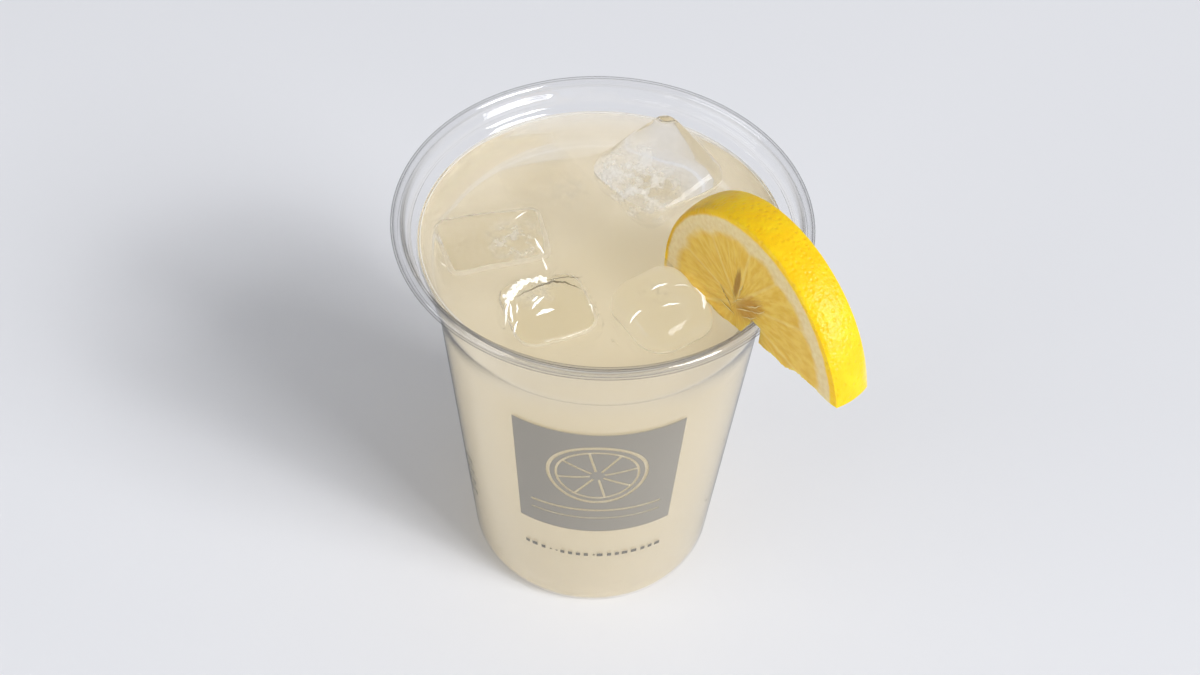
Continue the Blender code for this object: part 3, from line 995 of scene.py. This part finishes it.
def lemon_material():
    s = Shader("lemon")
    frame_of_slice = lemon_frame()
    away = s.add("VectorMath", {0: s.add("TexCoord").outputs["Object"],
                                1: frame_of_slice.translation}, operation="SUBTRACT")

    def along_axis(axis):
        made = s.add("VectorMath", {0: away, 1: frame_of_slice.col[axis].to_3d()},
                     operation="DOT_PRODUCT")
        return s.math("MULTIPLY", made.outputs["Value"], 1000.0)

    x = along_axis(0)
    y = along_axis(1)
    z = along_axis(2)
    place = s.add("CombineXYZ", {0: x, 1: y, 2: z}).outputs[0]

    def noise_of(vector, scale, detail=2.0):
        made = s.add("TexNoise", {"Vector": vector, "Scale": scale, "Detail": detail})
        return made.outputs[0]

    def length(first, second):
        total = s.math("MULTIPLY_ADD", first, first, s.math("MULTIPLY", second, second))
        return s.math("SQRT", total)

    radius = length(x, y)
    part = s.math("DIVIDE", z, LEMON_THICKNESS / MM)
    bulge = s.math("MULTIPLY", part, s.math("SUBTRACT", 1.0, part))
    edge = s.math("MULTIPLY_ADD", bulge, 2.8, s.math("ADD", part, 30.2))
    skin = s.math("SUBTRACT", edge, radius)
    waver = s.math("MULTIPLY_ADD", noise_of(place, 0.35), 1.2, -0.6)
    rind = s.ramp(s.math("ADD", skin, s.math("MULTIPLY", waver, 0.5)), 0.7, 1.5, 1.0, 0.0)

    cx = s.math("SUBTRACT", x, CORE_ALONG)
    cy = s.math("SUBTRACT", y, CORE_UP)
    gap = None
    for degrees in MEMBRANE_ANGLES:
        c = math.cos(math.radians(degrees))
        n = math.sin(math.radians(degrees))
        across = s.math("ABSOLUTE", s.math("MULTIPLY_ADD", cx, n, s.math("MULTIPLY", cy, -c)))
        behind = s.math("MULTIPLY_ADD", cx, -c, s.math("MULTIPLY", cy, -n))
        this = s.math("ADD", across, s.math("MAXIMUM", behind, 0.0))
        gap = this if gap is None else s.math("MINIMUM", gap, this)
    gap = s.math("ADD", gap, s.math("MULTIPLY", waver, 0.25))
    reach = length(cx, cy)
    angle = s.math("ARCTAN2", cy, cx)
    lobe = s.math("EXPONENT", s.math("MULTIPLY", s.math("MULTIPLY", gap, gap), -0.2))
    rim = s.math("MULTIPLY_ADD", lobe, 0.9, s.math("MULTIPLY_ADD", waver, 1.6, radius))
    pulp = s.ramp(rim, PITH_INNER - 2.0, PITH_INNER + 0.9, 1.0, 0.0)
    membrane = s.ramp(gap, 0.1, 0.6, 1.0, 0.0)

    rays = s.add("CombineXYZ", {0: s.math("MULTIPLY", reach, 0.16),
                                1: s.math("MULTIPLY", angle, 7.0),
                                2: s.math("MULTIPLY", z, 0.06)}).outputs[0]
    sacs = noise_of(rays, 1.6, 3.0)
    flesh = s.mix(s.ramp(sacs, 0.3, 0.7), linear(227, 182, 64), linear(239, 204, 96))
    flesh = s.mix(s.math("MULTIPLY", membrane, 0.28), flesh, linear(246, 226, 160))
    pith = s.mix(s.ramp(noise_of(place, 0.8), 0.3, 0.7), linear(229, 206, 149),
                 linear(237, 218, 168))
    inside = s.mix(pulp, pith, flesh)

    def oval(centre, turn, half, soft):
        """1 inside a turned oval in the slice's plane, fading out past its edge."""
        c = math.cos(math.radians(turn))
        n = math.sin(math.radians(turn))
        px = s.math("SUBTRACT", x, centre[0])
        py = s.math("SUBTRACT", y, centre[1])
        u = s.math("MULTIPLY_ADD", px, c / half[0], s.math("MULTIPLY", py, n / half[0]))
        v = s.math("MULTIPLY_ADD", px, -n / half[1], s.math("MULTIPLY", py, c / half[1]))
        wide = s.math("MULTIPLY_ADD", noise_of(rays, 3.0), 0.9, length(u, v))
        return s.ramp(wide, 1.45 - soft, 1.45 + soft, 1.0, 0.0)

    near = s.ramp(z, 2.5, 6.0, 1.0, 0.35)
    frayed = s.math("MULTIPLY", oval((1.6, 8.6), 38.0, (5.6, 2.5), 0.45), near)
    streak = s.math("MULTIPLY", oval((-2.0, 13.4), 73.0, (4.6, 0.95), 0.35), near)
    inside = s.mix(s.math("MULTIPLY", frayed, 0.65), inside, linear(186, 124, 48))
    inside = s.mix(s.math("MULTIPLY", streak, 0.65), inside, linear(132, 74, 26))

    peel = s.mix(s.ramp(noise_of(place, 0.25, 3.0), 0.35, 0.7), linear(251, 202, 4),
                 linear(253, 212, 14))
    pits = s.add("TexVoronoi", {"Vector": place, "Scale": 0.75, "Randomness": 0.9})
    pit = s.ramp(pits.outputs["Distance"], 0.05, 0.45, 1.0, 0.0)
    peel = s.mix(s.math("MULTIPLY", pit, 0.25), peel, linear(236, 178, 2))
    turned = s.math("ARCTAN2", y, x)
    brown_arc = s.math("MULTIPLY", s.ramp(turned, 1.75, 2.15), s.ramp(turned, 2.75, 3.0, 1.0, 0.0))
    brown_edge = s.math("ADD", z, s.math("MULTIPLY", waver, 3.5))
    brown = s.math("MULTIPLY", brown_arc, s.ramp(brown_edge, 0.6, 3.4, 1.0, 0.0))
    peel = s.mix(s.math("MULTIPLY", brown, 0.42), peel, linear(160, 104, 18))
    colour = s.mix(rind, inside, peel)

    dimples = s.math("MULTIPLY_ADD", pit, -0.6, noise_of(place, 1.1, 2.0))
    bumps = s.add("Mix", data_type="FLOAT")
    s.put(rind, bumps.inputs[0])
    s.put(sacs, bumps.inputs[2])
    s.put(dimples, bumps.inputs[3])
    normal = s.add("Bump", {"Strength": 0.4, "Distance": 0.0005, "Height": bumps.outputs[0]})
    face = s.add("BsdfPrincipled", {
        "Base Color": colour,
        "Roughness": 0.42,
        "IOR": 1.42,
        "Subsurface Weight": 0.45,
        "Subsurface Radius": (3.0, 2.2, 0.9),
        "Subsurface Scale": 0.001,
        "Normal": normal.outputs[0],
    })
    s.surface(face)
    return s.material


def tube(bm, points, radii, sides=6):
    """A thin round strand through some points."""
    rings = []
    for i, point in enumerate(points):
        ahead = (points[min(i + 1, len(points) - 1)] - points[max(i - 1, 0)]).normalized()
        side = ahead.orthogonal().normalized()
        other = ahead.cross(side)
        ring = []
        for k in range(sides):
            angle = 2.0 * math.pi * k / sides
            offset = side * math.cos(angle) + other * math.sin(angle)
            ring.append(bm.verts.new(point + offset * radii[i]))
        rings.append(ring)
    for first, second in zip(rings, rings[1:]):
        for k in range(sides):
            j = (k + 1) % sides
            bm.faces.new((first[k], first[j], second[j], second[k]))
    bm.faces.new(rings[0][::-1])
    bm.faces.new(rings[-1])


def make_lemon():
    shape = lemon_mesh()
    shape.transform(lemon_frame())
    shape.materials.append(lemon_material())
    lemon = piece("lemon_slice_cut", shape, ("lemon_slice",))
    tear = tear_mesh()
    tear.transform(lemon_frame())
    for mesh in (tear, slit_mesh()):
        cutter = bpy.data.objects.new("cutter", mesh)
        scene.collection.objects.link(cutter)
        cut(lemon, cutter)
        bpy.context.view_layer.update()
        applied(lemon)
        bpy.data.objects.remove(cutter, do_unlink=True)
    lemon.data.shade_smooth()
    lemon.data.set_sharp_from_angle(angle=math.radians(55.0))


# Pale fibres on the slice's near face: width, then places in its frame, all in mm
FIBRES = (
    (0.16, ((-2.6, 6.2), (0.6, 7.9), (3.6, 8.8))),
    (0.13, ((-0.6, 5.4), (2.8, 6.6), (5.0, 8.2))),
    (0.15, ((1.2, 9.2), (4.4, 10.6), (7.2, 13.2))),
    (0.12, ((2.4, 8.6), (5.6, 9.6), (8.6, 12.2))),
    (0.13, ((-3.6, 7.4), (-1.4, 9.6), (0.8, 10.8))),
    (0.12, ((-1.6, 10.2), (-0.6, 12.6), (0.8, 15.0))),
    (0.14, ((-4.4, 5.2), (-6.4, 8.0), (-9.0, 10.6))),
    (0.12, ((-3.4, 4.2), (-6.2, 4.8), (-9.4, 5.6))),
)


def make_fibres():
    bm = bmesh.new()
    chance = random.Random(5)
    for width, line in FIBRES:
        points = []
        for first, second in zip(line, line[1:]):
            for k in range(5):
                point = Vector(first).lerp(Vector(second), k / 5.0)
                points.append(Vector((point.x + chance.uniform(-0.12, 0.12),
                                      point.y + chance.uniform(-0.12, 0.12), 0.1)) * MM)
        radii = [width * MM * math.sin(math.pi * (i + 0.6) / len(points)) for i in range(len(points))]
        tube(bm, points, radii)
    mesh = mesh_from(bm, "lemon_fibres")
    mesh.transform(lemon_frame())
    mesh.shade_smooth()
    shader = Shader("lemon_fibre")
    shader.surface(shader.add("BsdfPrincipled", {"Base Color": linear(238, 216, 150),
                                                 "Roughness": 0.4}))
    mesh.materials.append(shader.material)
    piece("lemon_fibres", mesh)


def make_drink_edge_highlight():
    """A painted highlight: a white ring, partly clear, where the drink climbs the cup's wall,
    standing in for light that the drink's curved edge reflects.
    """
    radius = LEDGE_FOOT[0] - WALL / 2.0 - 0.4 * MM
    height = DRINK_LEVEL + MENISCUS_RISE - 0.1 * MM
    bm = bmesh.new()
    points = []
    for i in range(TURN_STEPS + 1):
        turn = 2.0 * math.pi * i / TURN_STEPS
        points.append(Vector((radius * math.cos(turn), radius * math.sin(turn), height)))
    tube(bm, points, [0.16 * MM] * len(points), 8)
    mesh = mesh_from(bm, "drink_edge_highlight")
    mesh.shade_smooth()
    shader = Shader("drink_edge_highlight")
    # White over clear: the painted highlight
    white = shader.add("BsdfDiffuse", {"Color": linear(246, 244, 240)})
    clear = shader.add("BsdfTransparent")
    shader.surface(shader.blend(0.6, clear.outputs[0], white.outputs[0]))
    mesh.materials.append(shader.material)
    piece("drink_edge_highlight", mesh)


# Print

def wall_radius(height):
    """Radius of the outside of the cone at a height."""
    return BASE_RADIUS + CONE_SLOPE * height + WALL / 2.0 * math.hypot(1.0, CONE_SLOPE)


def ink_patch(name, angles, heights, columns, rows):
    bm = bmesh.new()
    grid = []
    for r in range(rows + 1):
        height = (heights[0] + (heights[1] - heights[0]) * r / rows) * MM
        line = []
        for c in range(columns + 1):
            angle = math.radians(angles[0] + (angles[1] - angles[0]) * c / columns)
            radius = wall_radius(height) + INK_LIFT
            line.append(bm.verts.new((radius * math.cos(angle), radius * math.sin(angle), height)))
        grid.append(line)
    for low, high in zip(grid, grid[1:]):
        for c in range(columns):
            bm.faces.new((low[c], low[c + 1], high[c + 1], high[c]))
    mesh = mesh_from(bm, name)
    mesh.shade_smooth()
    return mesh


def ink_shader(name, colour):
    """Start an ink shader: returns it with the place round and up the wall in mm."""
    s = Shader(name)
    spot = s.add("SeparateXYZ", {0: s.add("TexCoord").outputs["Object"]})
    angle = s.math("ARCTAN2", spot.outputs[1], spot.outputs[0])
    across = s.math("MULTIPLY", s.math("SUBTRACT", angle, math.radians(-88.1)), 37.0)
    up = s.math("MULTIPLY_ADD", spot.outputs[2], 1000.0, -61.0)
    ink = s.add("BsdfPrincipled", {"Base Color": colour, "Roughness": 0.35})
    return s, across, up, ink


def print_material():
    """A grey field with the outline of a citrus wheel and two rules left clear."""
    s, across, up, ink = ink_shader("print_grey", linear(146, 141, 131))
    cy = s.math("SUBTRACT", up, WHEEL_RISE)
    total = s.math("MULTIPLY_ADD", across, across, s.math("MULTIPLY", cy, cy))
    reach = s.math("SQRT", total)

    def band(value, middle, half):
        off = s.math("ABSOLUTE", s.math("SUBTRACT", value, middle))
        return s.math("LESS_THAN", off, half)

    clear = s.math("MAXIMUM", band(reach, WHEEL_OUTER, 0.45), band(reach, WHEEL_INNER, 0.3))
    turn = s.math("ARCTAN2", cy, across)
    wedge = s.math("PINGPONG", s.math("ADD", turn, 10.0), math.pi / WHEEL_SPOKES)
    spoke = s.math("LESS_THAN", s.math("MULTIPLY", wedge, reach), 0.3)
    inner = s.math("MULTIPLY", s.math("LESS_THAN", reach, WHEEL_INNER),
                   s.math("GREATER_THAN", reach, WHEEL_HUB))
    clear = s.math("MAXIMUM", clear, s.math("MULTIPLY", spoke, inner))
    width = s.math("LESS_THAN", s.math("ABSOLUTE", across), 17.0)
    rule = s.math("MAXIMUM", band(up, -11.5, 0.35), band(up, -15.2, 0.2))
    clear = s.math("MAXIMUM", clear, s.math("MULTIPLY", rule, width))
    see = s.add("BsdfTransparent")
    cover = s.math("MULTIPLY", s.math("SUBTRACT", 1.0, clear), 0.97)
    s.surface(s.blend(cover, see.outputs[0], ink.outputs[0]))
    return s.material


def dash_material():
    """Plain ink for the rows of small dashes."""
    s = Shader("print_dashes")
    s.surface(s.add("BsdfPrincipled", {"Base Color": linear(112, 110, 104), "Roughness": 0.4}))
    return s.material


def add_dash(bm, angle, height, width, tall):
    """One small rectangle of ink: angle in degrees, the rest in mm."""
    radius = wall_radius(height * MM) + INK_LIFT
    half_angle = width * MM / radius / 2.0
    corners = []
    for side, level in ((-1, -1), (1, -1), (1, 1), (-1, 1)):
        z = (height + level * tall / 2.0) * MM
        a = math.radians(angle) + side * half_angle
        r = wall_radius(z) + INK_LIFT
        corners.append(bm.verts.new((r * math.cos(a), r * math.sin(a), z)))
    bm.faces.new(corners)


def make_print():
    field = ink_patch("print_field", PRINT_ANGLES, PRINT_HEIGHTS, 48, 24)
    field.materials.append(print_material())
    piece("print_field", field)
    chance = random.Random(4)
    bm = bmesh.new()
    angle = -117.6
    while angle < -57.5:
        width = chance.choice((1.1, 1.1, 1.5, 0.6))
        add_dash(bm, angle, 27.2, width, 1.4 if width > 0.8 else 0.6)
        angle += math.degrees((width + 0.95) / 34.5)
    for row in range(3):
        angle = 98.0 + 2.0 * row
        while angle < 126.0 - 5.0 * row:
            width = chance.choice((1.0, 1.4, 0.8))
            add_dash(bm, angle, 84.0 - 4.6 * row, width, 2.2)
            angle += math.degrees((width + 0.8) / 38.0)
    for row in range(4):
        height = 27.0 + 4.6 * row
        for k in range(3):
            add_dash(bm, -157.5 + 2.6 * k, height, 1.0, 2.0)
    for angle, height in ((-25.1, 53.4), (-28.3, 28.4), (-25.7, 14.6)):
        add_dash(bm, angle, height, 0.7, 0.7)
    mesh = mesh_from(bm, "print_rows")
    mesh.materials.append(dash_material())
    piece("print_rows", mesh)


make_cup()
make_drink()
make_ice()
# Painted shade: dark lines on the ice
make_strands("ice_shade_lines", ICE_SHADE_LINES, 0.0, 0.12, linear(120, 110, 88), 0.0, 0.3)
# Painted highlights: white glowing strands on the ice
make_strands("ice_glints", GLINTS, 0.0, 0.10, linear(255, 253, 247), 0.55, 0.1)
make_bubbles()
make_lemon()
make_fibres()
make_drink_edge_highlight()
make_print()
